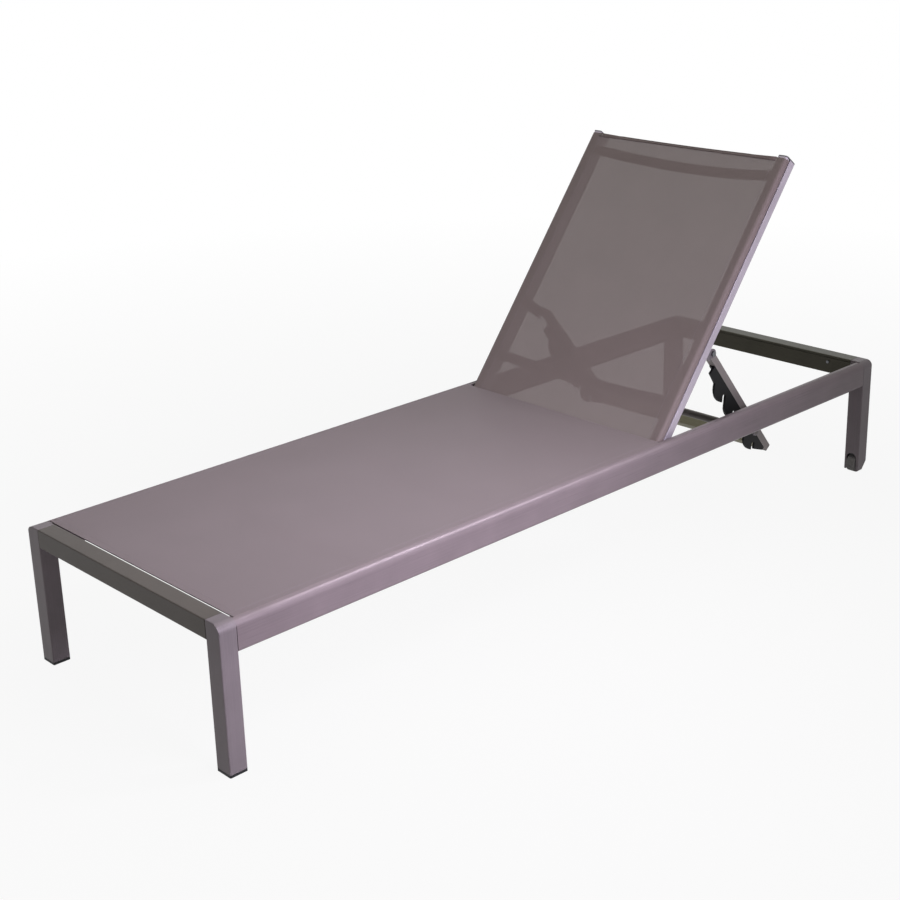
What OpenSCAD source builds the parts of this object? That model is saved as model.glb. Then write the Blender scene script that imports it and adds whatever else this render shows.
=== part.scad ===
// Sun lounger with a sling seat, a reclining sling backrest and two small wheels.
// Millimetres, floor at zero height, foot end toward -X, head end toward +X, Z up.
// Left and right are those of a person lying on it, so left is -Y.

/* [Frame] */

// Overall length of the lounger
length = 2000; // [1800:10:2200]
// Overall width over the side rails
width = 636; // [560:2:760]
// Height of the frame's top face
frame_height = 296; // [240:2:360]
// Leg size along the lounger
leg_length = 38; // [30:1:50]
// Leg size across the lounger
leg_width = 40; // [32:1:50]
// Radius of the frame's upper outer edge, on the legs and the side rails alike
corner_radius = 18; // [12:1:20]
// Radius of the tubes' long edges
edge_radius = 2.5; // [1.5:0.5:4]
// Wall of every aluminium tube
wall = 2; // [1.5:0.1:3]
// Height of the two crossbars
crossbar_height = 39; // [34:1:44]
// Depth of the crossbars' inner lip below the top face
lip_depth = 46; // [42:1:56]
// Height of the side rails
rail_height = 64; // [60:1:80]
// Width of the side rails
rail_width = 22; // [20:1:28]
// Radius of the side rails' lower outer edge
rail_under_round = 8; // [4:1:10]

/* [Feet and wheels] */

// Height of the plastic caps under the foot legs
foot_cap_height = 5; // [3:1:10]
// Height of the foot caps' plugs inside the legs
foot_plug_height = 24; // [12:1:40]
// Clear height of the head legs above the floor
head_leg_clear = 7; // [4:1:12]
// Diameter of the wheels over the tyre
wheel_diameter = 44; // [36:1:44]
// Width of the tyres
wheel_width = 24; // [18:1:26]
// Thickness of the tyres
tyre_thickness = 6; // [4:0.5:8]
// Diameter of the wheel axles
axle_diameter = 8; // [6:0.5:10]
// Width of the arched window at the foot of the head legs
window_width = 28; // [26:1:30]
// Height of the window's straight sides
window_side = 38; // [30:1:44]
// Height of the cut across the head legs' rear corner
heel_rise = 30; // [20:1:34]

/* [Slings] */

// Thickness of the sling cloth
cloth = 1.2; // [0.8:0.1:1.6]
// Diameter of the plastic splines in the sling pockets
spline_diameter = 4; // [3:0.1:4.2]
// Diameter of the spline channels in the rails
channel_diameter = 7; // [6.8:0.1:8]
// Width of the slot into the side rails' spline channel
slot_width = 2; // [1.8:0.1:2.4]
// Width of the slot into the back rails' spline channel
back_slot_width = 4; // [3:0.1:4.4]
// Sag of the seat sling at its middle
seat_sag = 4; // [2:1:14]
// Sag of the back sling at its middle
back_sag = 3; // [2:1:12]
// Gap between the foot crossbar and the seat sling
seat_gap = 6; // [4:1:14]
// Distance of the seat sling's rear hem from the hinge axis
seat_hem_gap = 14.6; // [13:0.1:30]
// Length of the back sling's tongue below the hinge axis
sling_tongue = 8; // [6:1:10]
// Distance of the back sling's upper hem below the backrest's top
sling_drop = 7; // [5:1:20]

/* [Backrest] */

// Distance of the hinge axis from the head end
hinge_from_head = 797.4; // [780:0.1:840]
// Depth of the hinge axis below the frame's top face
hinge_drop = 25; // [22:0.5:30]
// Angle of the backrest above flat in the third notch
recline = 52.1; // [50:0.1:54]
// Length of the backrest from the hinge axis to its top
back_length = 728; // [660:1:730]
// Gap between the backrest and each side rail
back_gap = 6; // [5:0.5:12]
// Width of the back rails
back_rail_width = 25; // [23:1:28]
// Depth of the back rails
back_rail_depth = 40; // [36:1:40]
// Radius of the back rails' front outer edge
back_round = 7; // [4:1:9]
// Reach of the back rails below the hinge axis
back_tail = 16; // [13:1:18]
// Width of the oval spreader tubes
spreader_width = 25; // [20:1:30]
// Thickness of the oval spreader tubes
spreader_depth = 18; // [14:1:20]
// Bow of the spreaders at their middle
spreader_bow = 30; // [18:1:36]
// Distance of the lower back spreader from the hinge axis
low_spreader_at = 111; // [90:1:150]
// Distance of the upper back spreader below the backrest's top
high_spreader_drop = 44; // [36:1:80]

/* [Prop and catch] */

// Distance of the prop pivot from the hinge axis along the back rails
pivot_along = 261.8; // [250:0.1:270]
// Distance of the prop pivot behind the hinge axis
pivot_behind = 65; // [60:0.5:70]
// Angle of the prop arms below level
prop_angle = 51.3; // [50:0.1:53]
// Size of the square prop arms
arm_size = 18; // [16:1:22]
// Reach of the arms from the pivot to their cut ends
arm_reach = 377; // [370:1:384]
// Width of the prop crossbar across its bright face
prop_bar_width = 24; // [20:1:28]
// Depth of the prop crossbar along the arms
prop_bar_depth = 18; // [14:1:22]
// Spacing of the four catch notches
notch_pitch = 63.8; // [60:0.1:66]
// Distance from the pivot to the first notch
first_notch = 125.7; // [120:0.1:130]
// Distance of the notches from the arms' centre line
notch_offset = 31; // [29:0.5:33]
// Diameter of the catch bar
catch_diameter = 12; // [10:0.5:12]
// Diameter of the sleeve on the catch bar between the racks
sleeve_diameter = 18; // [14:1:20]
// Thickness of the notched plastic racks
rack_thickness = 6; // [4:0.5:8]
// Diameter of the prop pivot bolts
pivot_diameter = 8; // [6:0.5:10]
// Diameter of the hinge pins
hinge_diameter = 8; // [6:0.5:9]

/* [Fits] */

// Radial clearance of the turning fits
running_fit = 0.05; // [0.02:0.01:0.1]
// Side clearance between turning pieces
side_gap = 0.2; // [0.1:0.05:0.5]
// Clearance round plugs and inserts inside the tubes
plug_fit = 0.1; // [0.05:0.05:0.3]
// Clearance round the catch bar in its notch
notch_fit = 0.3; // [0.2:0.05:0.6]

/* [Hidden] */

$fn = 64;
// how far each cut runs past the face that it opens
overrun = 1;
// radius of the corners inside the tubes
small_round = 1;

half_length = length / 2;
half_width = width / 2;
leg_in = half_width - leg_width;
leg_x = half_length - leg_length;
leg_mid = half_width - leg_width / 2;
rail_in = half_width - rail_width;
rail_low = frame_height - rail_height;
bar_low = frame_height - crossbar_height;
lip_low = frame_height - lip_depth;

// land and channel of the side rails
land_drop = 2;
land_top = frame_height - land_drop;
channel_inset = 13;
channel_drop = 8;
channel_wall = 3.5;
rail_inner_round = 2;
channel_y = half_width - channel_inset;
channel_z = land_top - channel_drop;
cavity_top = channel_z - channel_diameter / 2 - channel_wall;

// the crossbars' long groove, in both faces of the lip side
groove_width = 1.8;
groove_depth = 1.6;
groove_drop = 5;

// nuts of the hinge pins and pivot bolts
nut_diameter = 13;
nut_height = 6;

// corner and rail connectors with their screws and bolts
connector_reach = 78;
connector_in_leg = 10;
connector_screw_inset = 65;
connector_screw_drop = 18;
screw_diameter = 4;
screw_length = 15;
screw_head = 8;
screw_head_height = 2.2;
rail_insert = 40;
rail_bolt_rise = 24;
bolt_diameter = 6;
bolt_length = 24;
bolt_head = 11;
bolt_head_height = 4;
hole_spare = 2;
connector_screw_y = leg_in - connector_screw_inset;
connector_screw_z = frame_height - connector_screw_drop;
rail_bolt_y = rail_in + rail_width / 2;
rail_bolt_z = rail_low + rail_bolt_rise;

// wheels and their housings
well_side_gap = 1;
well_crown_gap = 3;
housing_rise = 28;
housing_lift = 1;
heel_run = 19;
boss_diameter = 16;
web_recess = 7;
rim_wall = 2.5;
tyre_round = 2.5;
tyre_seat_round = 0.2;
wheel_x = half_length - wheel_diameter / 2;
wheel_z = wheel_diameter / 2;
rim_radius = wheel_diameter / 2 - tyre_thickness;
well_width = wheel_width + 2 * well_side_gap;
well_top = wheel_diameter + well_crown_gap;
housing_top = wheel_diameter + housing_rise;
boss_width = well_width - 2 * side_gap;

// backrest, measured from the hinge axis
back_cap = 2.5;
cap_plug = 14;
low_cap_plug = 5;
rear_round = 3;
front_inner_round = 2;
slot_lip = 0.8;
web = 2.5;
back_channel_inset = 6;
back_channel_z = 5;
back_slot_low = 1.8;
lip_width = 8;
back_cloth_start = 9;
tongue_inset = 8;
bush_wall = 2;
bush_flange = 2;
bush_flange_diameter = 18;
hinge_head = 16;
hinge_head_height = 4;
spacer_diameter = 20;
spreader_wall = 1.5;
// extra degrees of bend cut off where a spreader meets its rails
spreader_spare = 2;
hinge_x = half_length - hinge_from_head;
hinge_z = frame_height - hinge_drop;
back_half = rail_in - back_gap;
back_in = back_half - back_rail_width;
back_front = back_rail_depth / 2;
back_face = back_front - cloth;
back_channel_y = back_half - back_channel_inset;
back_cloth_end = back_length - sling_drop;

// seat
seat_start = -leg_x + seat_gap;
seat_end = hinge_x - seat_hem_gap;
seat_length = seat_end - seat_start;
seat_top = land_top + cloth;
sling_steps = 12;
seat_spreader_rise = 30;
seat_spreader_z = rail_low + seat_spreader_rise;
// places of the three seat spreaders as shares of the seat sling's length
seat_spreader_shares = [0.31, 0.64, 0.967];

// prop, measured from the pivot along the arms
bracket_thickness = 4;
bracket_width = 26;
bracket_lead = 19.8;
bracket_radius = 11;
bracket_top = 14;
bracket_clear = 1;
bolt_end = 7;
pivot_head_height = 4;
arm_cap = 2;
arm_cap_plug = 12;
prop_bar_inset = 1;
prop_bar_round = 3;
rack_start = 38;
rack_end = 362;
rack_base = 3;
rack_base_inset = 2;
rack_base_spare = 1;
rack_lead_height = 30.5;
rack_end_height = 17;
notch_count = 4;
slot_run = 40;
slot_angle = 45;
notch_width = catch_diameter + 2 * notch_fit;
rivet_diameter = 5;
rivet_head = 9;
rivet_head_height = 2;
flat_rivet_head = 8;
flat_head_height = 1;
// places of the bracket rivets as shares of the back rails' depth
bracket_rivet_shares = [-0.25, 0.15];
bracket_start = pivot_along - bracket_lead;
arm_out = back_in - bracket_thickness - bracket_clear;
arm_in = arm_out - arm_size;
arm_half = arm_size / 2;
prop_bar_at = arm_reach - prop_bar_depth - prop_bar_inset;

// catch bar and its brackets on the frame
engaged = 2;
catch_along = first_notch + engaged * notch_pitch;
pivot_x = hinge_x + pivot_along * cos(recline) + pivot_behind * sin(recline);
pivot_z = hinge_z + pivot_along * sin(recline) - pivot_behind * cos(recline);
catch_x = pivot_x + catch_along * cos(prop_angle) - notch_offset * sin(prop_angle);
catch_z = pivot_z - catch_along * sin(prop_angle) - notch_offset * cos(prop_angle);
catch_overhang = 2;
sleeve_gap = 2;
catch_gap = 0.5;
catch_split = arm_out + catch_overhang;
sleeve_half = arm_out - rack_thickness - sleeve_gap;
catch_plate = 4;
catch_plate_width = 26;
catch_plate_low = 3;
catch_plate_high = 45;
catch_eye_wall = 3;
// places of the catch rivets as shares of the side rails' height
catch_rivet_shares = [0.22, 0.56];

// one catch tooth as shares of the notch spacing, from its notch
tooth_shares = [
  [-0.84, 0.04],
  [-0.77, 0.13],
  [-0.68, 0.22],
  [-0.58, 0.28],
  [-0.47, 0.32],
  [-0.36, 0.34],
  [-0.24, 0.335],
  [-0.12, 0.31],
  [0, 0.26],
  [0.09, 0.2],
  [0.14, 0.13]
];

foot_crossbar();
head_crossbar();
foot_leg_left();
foot_leg_right();
head_leg_left();
head_leg_right();
side_rail_left();
side_rail_right();
corner_connectors();
corner_screws();
rail_connectors();
rail_bolts();
foot_cap_left();
foot_cap_right();
wheel_housing_left();
wheel_housing_right();
axle_left();
axle_right();
wheel_left();
wheel_right();
tyre_left();
tyre_right();
seat_spreader_foot();
seat_spreader_middle();
seat_spreader_head();
seat_splines();
seat_sling();
hinge_pin_left();
hinge_pin_right();
hinge_nuts();
hinge_spacers();
catch_bracket_left();
catch_bracket_right();
catch_rivets();
catch_end_left();
catch_end_right();
back_rail_left();
back_rail_right();
back_bush_left();
back_bush_right();
back_top_cap_left();
back_top_cap_right();
back_bottom_cap_left();
back_bottom_cap_right();
back_spreader_low();
back_spreader_high();
back_splines();
back_sling();
prop_bracket_left();
prop_bracket_right();
bracket_rivets();
pivot_bolts();
pivot_nuts();
prop_arm_left();
prop_arm_right();
prop_arm_caps();
prop_crossbar();
rack_left();
rack_right();
catch_bar();

// Placing helpers. Every side piece is drawn on the right, at +Y, and mirrored to the left.

module on_left() {
  mirror([0, 1, 0]) children();
}

module both_sides() {
  children();
  on_left() children();
}

// one copy at each of the four corners of the frame
module at_corners() {
  for (end = [0, 1]) mirror([end, 0, 0]) both_sides() children();
}

// a flat shape drawn in Y and Z, drawn out along X
module along_x(start, run) {
  translate([start, 0, 0]) rotate([90, 0, 90]) linear_extrude(run) children();
}

// a flat shape drawn in X and Z, drawn out along Y
module along_y(start, run) {
  translate([0, start + run, 0]) rotate([90, 0, 0]) linear_extrude(run) children();
}

// a round bar along Y
module bar_y(start, run, diameter) {
  translate([0, start, 0]) rotate([-90, 0, 0]) cylinder(d = diameter, h = run);
}

// a round bar along X
module bar_x(start, run, diameter) {
  translate([start, 0, 0]) rotate([0, 90, 0]) cylinder(d = diameter, h = run);
}

// a hole along Y through a wall that begins at start
module hole_y(start, thick, diameter) {
  bar_y(start - overrun, thick + 2 * overrun, diameter);
}

// the corner of a square with its outer edge rounded off
module corner_cut(radius) {
  difference() {
    square(radius + overrun);
    circle(radius);
  }
}

// a rectangle with four radii: lower near, lower far, upper far, upper near
module rounded(low_x, low_y, wide, high, near_low, far_low, far_high, near_high) {
  difference() {
    translate([low_x, low_y]) square([wide, high]);
    translate([low_x + near_low, low_y + near_low]) mirror([1, 0]) mirror([0, 1]) corner_cut(near_low);
    translate([low_x + wide - far_low, low_y + far_low]) mirror([0, 1]) corner_cut(far_low);
    translate([low_x + wide - far_high, low_y + high - far_high]) corner_cut(far_high);
    translate([low_x + near_high, low_y + high - near_high]) mirror([1, 0]) corner_cut(near_high);
  }
}

// a rectangle with one radius
module soft_square(low_x, low_y, wide, high, radius) {
  rounded(low_x, low_y, wide, high, radius, radius, radius, radius);
}

// the backrest's own axes, from the hinge axis up the back rails
module in_back() {
  translate([hinge_x, 0, hinge_z]) rotate([0, -recline, 0]) children();
}

// the prop's own axes: X down the arms, Z away from the notches
module in_prop() {
  translate([pivot_x, 0, pivot_z]) rotate([0, prop_angle, 0]) children();
}

// Foot and head crossbars. One extrusion serves both ends, with its lip and groove toward the sling.

module crossbar_profile() {
  difference() {
    union() {
      rounded(leg_x, bar_low, leg_length, crossbar_height,
        small_round, edge_radius, edge_radius, edge_radius);
      translate([leg_x, lip_low]) square([wall, lip_depth - crossbar_height + edge_radius]);
      translate([leg_x, lip_low]) square([2 * wall, wall]);
    }
    translate([leg_x + wall, bar_low + wall])
      square([leg_length - 2 * wall, crossbar_height - 2 * wall]);
    translate([leg_x - overrun, frame_height - groove_drop - groove_width])
      square([overrun + groove_depth, groove_width]);
  }
}

module crossbar() {
  difference() {
    along_y(-leg_in, 2 * leg_in) crossbar_profile();
    for (side = [-1, 1])
      translate([leg_x, side * connector_screw_y, connector_screw_z])
        bar_x(-overrun, wall + 2 * overrun, screw_diameter);
  }
}

module foot_crossbar() {
  color("#9d968f") mirror([1, 0, 0]) crossbar();
}

module head_crossbar() {
  color("#8f8983") crossbar();
}

// Legs. Each is a square tube whose top carries the frame's rounded outer edge.

module leg_outline(low) {
  rounded(leg_in, low, leg_width, frame_height - low, small_round, small_round, corner_radius, small_round);
}

module leg_hollow() {
  along_x(leg_x + wall, leg_length - 2 * wall)
    rounded(leg_in + wall, -overrun, leg_width - 2 * wall, frame_height - wall + overrun,
      small_round, small_round, corner_radius - wall, small_round);
}

module leg_body(low) {
  difference() {
    intersection() {
      along_x(leg_x, leg_length) leg_outline(low);
      translate([0, 0, low]) linear_extrude(frame_height - low)
        soft_square(leg_x, leg_in, leg_length, leg_width, edge_radius);
      along_y(leg_in, leg_width)
        rounded(leg_x, low, leg_length, frame_height - low, small_round, small_round, edge_radius, edge_radius);
    }
    leg_hollow();
    along_x(leg_x + wall, leg_length - 2 * wall)
      translate([leg_in - overrun, bar_low + wall])
        square([wall + 2 * overrun, crossbar_height - 2 * wall]);
    translate([leg_x, rail_bolt_y, rail_bolt_z]) bar_x(-overrun, wall + 2 * overrun, bolt_diameter);
  }
}

module foot_leg() {
  mirror([1, 0, 0]) leg_body(foot_cap_height);
}

// the arched window, from one face of the leg through to the other
module leg_window() {
  along_x(leg_x - overrun, leg_length + 2 * overrun)
    union() {
      translate([leg_mid - window_width / 2, -overrun]) square([window_width, window_side + overrun]);
      translate([leg_mid, window_side]) circle(d = window_width);
    }
}

// the cut across the rear corner at the floor
module heel_cut() {
  along_y(leg_in - overrun, leg_width + 2 * overrun)
    polygon([
      [half_length - heel_run, 0],
      [half_length - heel_run, head_leg_clear],
      [half_length, heel_rise],
      [half_length + overrun, heel_rise],
      [half_length + overrun, 0]
    ]);
}

module head_leg() {
  difference() {
    leg_body(head_leg_clear);
    leg_window();
    heel_cut();
  }
}

module foot_leg_left() {
  color("#8d8691") on_left() foot_leg();
}

module foot_leg_right() {
  color("#8d8691") foot_leg();
}

module head_leg_left() {
  color("#8d8691") on_left() head_leg();
}

module head_leg_right() {
  color("#8d8691") head_leg();
}

// Side rails. Land for the cloth, slot and spline channel on top, one hollow chamber below.

// the chamber, drawn smaller by gap for what is pushed into it
module rail_chamber(gap) {
  rounded(rail_in + wall + gap, rail_low + wall + gap, rail_width - 2 * (wall + gap),
    cavity_top - rail_low - wall - 2 * gap,
    small_round, rail_under_round - wall, rail_inner_round, rail_inner_round);
}

module side_rail_profile() {
  difference() {
    rounded(rail_in, rail_low, rail_width, rail_height,
      rail_inner_round, rail_under_round, corner_radius, rail_inner_round);
    translate([rail_in - overrun, land_top])
      square([channel_y - rail_in + overrun + slot_width / 2, land_drop + overrun]);
    rail_chamber(0);
    translate([channel_y, channel_z]) circle(d = channel_diameter);
    translate([channel_y - slot_width / 2, channel_z])
      square([slot_width, land_top - channel_z + overrun]);
  }
}

module side_rail() {
  difference() {
    along_x(-leg_x, 2 * leg_x) side_rail_profile();
    translate([hinge_x, 0, hinge_z]) hole_y(rail_in, wall, hinge_diameter);
    for (share = catch_rivet_shares)
      translate([catch_x, 0, rail_low + share * rail_height]) hole_y(rail_in, wall, rivet_diameter);
  }
}

module side_rail_left() {
  color("#857b86") on_left() side_rail();
}

module side_rail_right() {
  color("#857b86") side_rail();
}

// Blocks inside the crossbar ends that tie them into the legs.

module corner_connector() {
  difference() {
    translate([leg_x + wall + plug_fit, leg_in - connector_reach, bar_low + wall + plug_fit])
      cube([leg_length - 2 * (wall + plug_fit), connector_reach + connector_in_leg,
        crossbar_height - 2 * (wall + plug_fit)]);
    translate([leg_x, connector_screw_y, connector_screw_z])
      bar_x(0, screw_length + hole_spare, screw_diameter);
  }
}

module corner_connectors() {
  color("#555555") at_corners() corner_connector();
}

module corner_screw() {
  translate([leg_x, connector_screw_y, connector_screw_z])
    union() {
      bar_x(0, screw_length, screw_diameter);
      bar_x(-screw_head_height, screw_head_height, screw_head);
    }
}

module corner_screws() {
  color("#b8b8b8") at_corners() corner_screw();
}

// Blocks inside the side rail ends, each drawn against its leg by one bolt from inside the leg.

module rail_connector() {
  difference() {
    along_x(leg_x - rail_insert, rail_insert) rail_chamber(plug_fit);
    translate([leg_x, rail_bolt_y, rail_bolt_z])
      bar_x(-bolt_length - hole_spare, bolt_length + hole_spare + overrun, bolt_diameter);
  }
}

module rail_connectors() {
  color("#555555") at_corners() rail_connector();
}

module rail_bolt() {
  translate([leg_x, rail_bolt_y, rail_bolt_z])
    union() {
      bar_x(-bolt_length, bolt_length + wall, bolt_diameter);
      bar_x(wall, bolt_head_height, bolt_head);
    }
}

module rail_bolts() {
  color("#b8b8b8") at_corners() rail_bolt();
}

// Plastic caps under the foot legs, each a pad with a plug up inside the tube.

module foot_cap() {
  union() {
    linear_extrude(foot_cap_height) soft_square(-half_length, leg_in, leg_length, leg_width, edge_radius);
    translate([-half_length + wall + plug_fit, leg_in + wall + plug_fit, foot_cap_height])
      cube([leg_length - 2 * (wall + plug_fit), leg_width - 2 * (wall + plug_fit), foot_plug_height]);
  }
}

module foot_cap_left() {
  color("#1b1b1d") on_left() foot_cap();
}

module foot_cap_right() {
  color("#1b1b1d") foot_cap();
}

// Wheel housings. A plug in the leg's tube with a well for the wheel between two cheeks.

module wheel_housing() {
  housing_low = head_leg_clear + housing_lift;
  difference() {
    translate([leg_x + wall + plug_fit, leg_in + wall + plug_fit, housing_low])
      cube([leg_length - 2 * (wall + plug_fit), leg_width - 2 * (wall + plug_fit),
        housing_top - housing_low]);
    translate([leg_x - overrun, leg_mid - well_width / 2, 0])
      cube([leg_length + 2 * overrun, well_width, well_top]);
    translate([wheel_x, 0, wheel_z]) bar_y(leg_in, leg_width, axle_diameter);
    heel_cut();
  }
}

module wheel_housing_left() {
  color("#1b1b1d") on_left() wheel_housing();
}

module wheel_housing_right() {
  color("#1b1b1d") wheel_housing();
}

// Axles, captive between the side walls of the leg.

module axle() {
  translate([wheel_x, 0, wheel_z])
    bar_y(leg_in + wall + plug_fit, leg_width - 2 * (wall + plug_fit), axle_diameter);
}

module axle_left() {
  color("#b8b8b8") on_left() axle();
}

module axle_right() {
  color("#b8b8b8") axle();
}

// Wheels: a hub with a rim and web, turning on the axle.

module wheel_hub() {
  translate([wheel_x, leg_mid, wheel_z]) rotate([90, 0, 0])
    rotate_extrude()
      difference() {
        union() {
          translate([0, -wheel_width / 2]) square([rim_radius, wheel_width]);
          translate([0, -boss_width / 2]) square([boss_diameter / 2, boss_width]);
        }
        translate([-overrun, -boss_width])
          square([overrun + axle_diameter / 2 + running_fit, 2 * boss_width]);
        for (face = [0, 1])
          mirror([0, face])
            translate([boss_diameter / 2, wheel_width / 2 - web_recess])
              square([rim_radius - rim_wall - boss_diameter / 2, web_recess + overrun]);
      }
}

module wheel_left() {
  color("#77777b") on_left() wheel_hub();
}

module wheel_right() {
  color("#77777b") wheel_hub();
}

// Tyres, seated on the rims.

module tyre() {
  translate([wheel_x, leg_mid, wheel_z]) rotate([90, 0, 0])
    rotate_extrude()
      rounded(rim_radius, -wheel_width / 2, tyre_thickness, wheel_width,
        tyre_seat_round, tyre_round, tyre_round, tyre_seat_round);
}

module tyre_left() {
  color("#1d1d1f") on_left() tyre();
}

module tyre_right() {
  color("#1d1d1f") tyre();
}

// Bowed oval tubes that hold the rails apart.

// the oval section, long way across the tube's run
module oval(wide, deep) {
  union() {
    square([wide - deep, deep], center = true);
    translate([(wide - deep) / 2, 0]) circle(d = deep);
    translate([-(wide - deep) / 2, 0]) circle(d = deep);
  }
}

// from rail to rail along Y, bowed toward -Z at its middle
module bowed_spreader(half_span) {
  bend = (half_span * half_span + spreader_bow * spreader_bow) / (2 * spreader_bow);
  sweep = 2 * asin(half_span / bend) + spreader_spare;
  reach = spreader_bow + spreader_depth;
  difference() {
    translate([0, 0, bend - spreader_bow]) rotate([0, 90, 0]) rotate([0, 0, -sweep / 2])
      rotate_extrude(angle = sweep)
        translate([bend, 0])
          difference() {
            rotate(90) oval(spreader_width, spreader_depth);
            rotate(90) oval(spreader_width - 2 * spreader_wall, spreader_depth - 2 * spreader_wall);
          }
    for (side = [0, 1])
      mirror([0, side, 0])
        translate([-spreader_width, half_span, -reach]) cube([2 * spreader_width, reach, 3 * reach]);
  }
}

module seat_spreader(share) {
  translate([seat_start + share * seat_length, 0, seat_spreader_z]) bowed_spreader(rail_in);
}

module seat_spreader_foot() {
  color("#8f8983") seat_spreader(seat_spreader_shares[0]);
}

module seat_spreader_middle() {
  color("#8f8983") seat_spreader(seat_spreader_shares[1]);
}

module seat_spreader_head() {
  color("#8f8983") seat_spreader(seat_spreader_shares[2]);
}

// Seat sling: the sagging cloth, its turns down into the slots and its pockets round the splines.

module seat_splines() {
  color("#3a3a3c") both_sides()
    translate([0, channel_y, channel_z]) bar_x(seat_start, seat_length, spline_diameter);
}

// a cloth band between two edges, sagging at its middle
module sagging_band(half_span, top, sag) {
  over = [for (i = [0 : sling_steps])
    let (share = 2 * i / sling_steps - 1)
      [half_span * share, top - sag * (1 - share * share)]];
  under = [for (i = [0 : sling_steps])
    let (share = 1 - 2 * i / sling_steps)
      [half_span * share, top - cloth - sag * (1 - share * share)]];
  polygon(concat(over, under));
}

module seat_pocket() {
  difference() {
    union() {
      translate([channel_y, channel_z]) circle(d = spline_diameter + 2 * cloth);
      translate([channel_y - cloth / 2, channel_z]) square([cloth, seat_top - channel_z]);
      translate([rail_in - overrun, land_top])
        square([channel_y - rail_in + overrun + cloth / 2, cloth]);
    }
    translate([channel_y, channel_z]) circle(d = spline_diameter);
  }
}

module seat_sling() {
  color("#8c8480")
    along_x(seat_start, seat_length)
      union() {
        sagging_band(rail_in, seat_top, seat_sag);
        seat_pocket();
        mirror([1, 0]) seat_pocket();
      }
}

// Hinge pins. Each passes from inside the back rail out to a nut inside the side rail.

module hinge_pin() {
  translate([hinge_x, 0, hinge_z])
    union() {
      bar_y(back_in - side_gap, rail_in + wall + nut_height + 2 * wall - back_in + side_gap, hinge_diameter);
      bar_y(back_in - side_gap - hinge_head_height, hinge_head_height, hinge_head);
    }
}

module hinge_pin_left() {
  color("#a8a8a8") on_left() hinge_pin();
}

module hinge_pin_right() {
  color("#a8a8a8") hinge_pin();
}

module hinge_nuts() {
  color("#a8a8a8") both_sides()
    translate([hinge_x, 0, hinge_z])
      difference() {
        bar_y(rail_in + wall, nut_height, nut_diameter);
        hole_y(rail_in + wall, nut_height, hinge_diameter);
      }
}

module hinge_spacers() {
  spacer_start = back_half + bush_flange + side_gap;
  color("#1d1d1f") both_sides()
    translate([hinge_x, 0, hinge_z])
      difference() {
        bar_y(spacer_start, rail_in - spacer_start, spacer_diameter);
        hole_y(spacer_start, rail_in - spacer_start, hinge_diameter);
      }
}

// Brackets on the side rails that carry the ends of the catch bar.

module catch_bracket() {
  difference() {
    along_y(rail_in - catch_plate, catch_plate)
      union() {
        translate([catch_x, catch_z]) circle(d = catch_diameter + 2 * catch_eye_wall);
        translate([catch_x - catch_diameter / 2 - catch_eye_wall, catch_z])
          square([catch_diameter + 2 * catch_eye_wall, rail_low + catch_plate_high - catch_z]);
        translate([catch_x - catch_plate_width / 2, rail_low + catch_plate_low])
          square([catch_plate_width, catch_plate_high - catch_plate_low]);
      }
    translate([catch_x, 0, catch_z]) hole_y(rail_in - catch_plate, catch_plate, catch_diameter);
    for (share = catch_rivet_shares)
      translate([catch_x, 0, rail_low + share * rail_height])
        hole_y(rail_in - catch_plate, catch_plate, rivet_diameter);
  }
}

module catch_bracket_left() {
  color("#6f6a66") on_left() catch_bracket();
}

module catch_bracket_right() {
  color("#6f6a66") catch_bracket();
}

module catch_rivet() {
  union() {
    bar_y(rail_in - catch_plate, catch_plate + wall + flat_head_height, rivet_diameter);
    bar_y(rail_in - catch_plate - flat_head_height, flat_head_height, rivet_head);
    bar_y(rail_in + wall, flat_head_height, flat_rivet_head);
  }
}

module catch_rivets() {
  color("#b8b8b8") both_sides()
    for (share = catch_rivet_shares)
      translate([catch_x, 0, rail_low + share * rail_height]) catch_rivet();
}

module catch_end() {
  translate([catch_x, 0, catch_z])
    bar_y(catch_split + catch_gap, rail_in - catch_split - catch_gap, catch_diameter);
}

module catch_end_left() {
  color("#6f6a66") on_left() catch_end();
}

module catch_end_right() {
  color("#6f6a66") catch_end();
}

// Back rails. The cloth lies in a recess over the front and outer face, down to the side slot.

module back_rail_profile() {
  difference() {
    union() {
      rounded(back_in, -back_front, back_rail_width - cloth, back_rail_depth - cloth,
        rear_round, rear_round, back_round, front_inner_round);
      rounded(back_half - lip_width, -back_front, lip_width, back_front + back_slot_low,
        small_round, rear_round, slot_lip, small_round);
    }
    soft_square(back_in + wall, wall - back_front, back_rail_width - 2 * wall, back_front - 2 * wall,
      small_round);
    translate([back_in + wall, web - wall])
      square([back_rail_width - back_channel_inset - channel_diameter / 2 - 2 * wall, back_face - web]);
    translate([back_channel_y, back_channel_z]) circle(d = channel_diameter);
    translate([back_channel_y, back_slot_low])
      square([back_channel_inset + overrun, back_slot_width]);
  }
}

// the two rivet holes of a prop bracket, through a wall that begins at start
module bracket_rivet_holes(start, thick) {
  for (share = bracket_rivet_shares)
    translate([bracket_start + bracket_width / 2, 0, share * back_rail_depth])
      hole_y(start, thick, rivet_diameter);
}

module back_rail() {
  in_back()
    difference() {
      along_x(back_cap - back_tail, back_length + back_tail - 2 * back_cap) back_rail_profile();
      hole_y(back_in, back_rail_width, hinge_diameter + 2 * (bush_wall + running_fit));
      bracket_rivet_holes(back_in, wall);
    }
}

module back_rail_left() {
  color("#9189a0") on_left() back_rail();
}

module back_rail_right() {
  color("#9189a0") back_rail();
}

// Flanged bushes that turn on the hinge pins.

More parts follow.
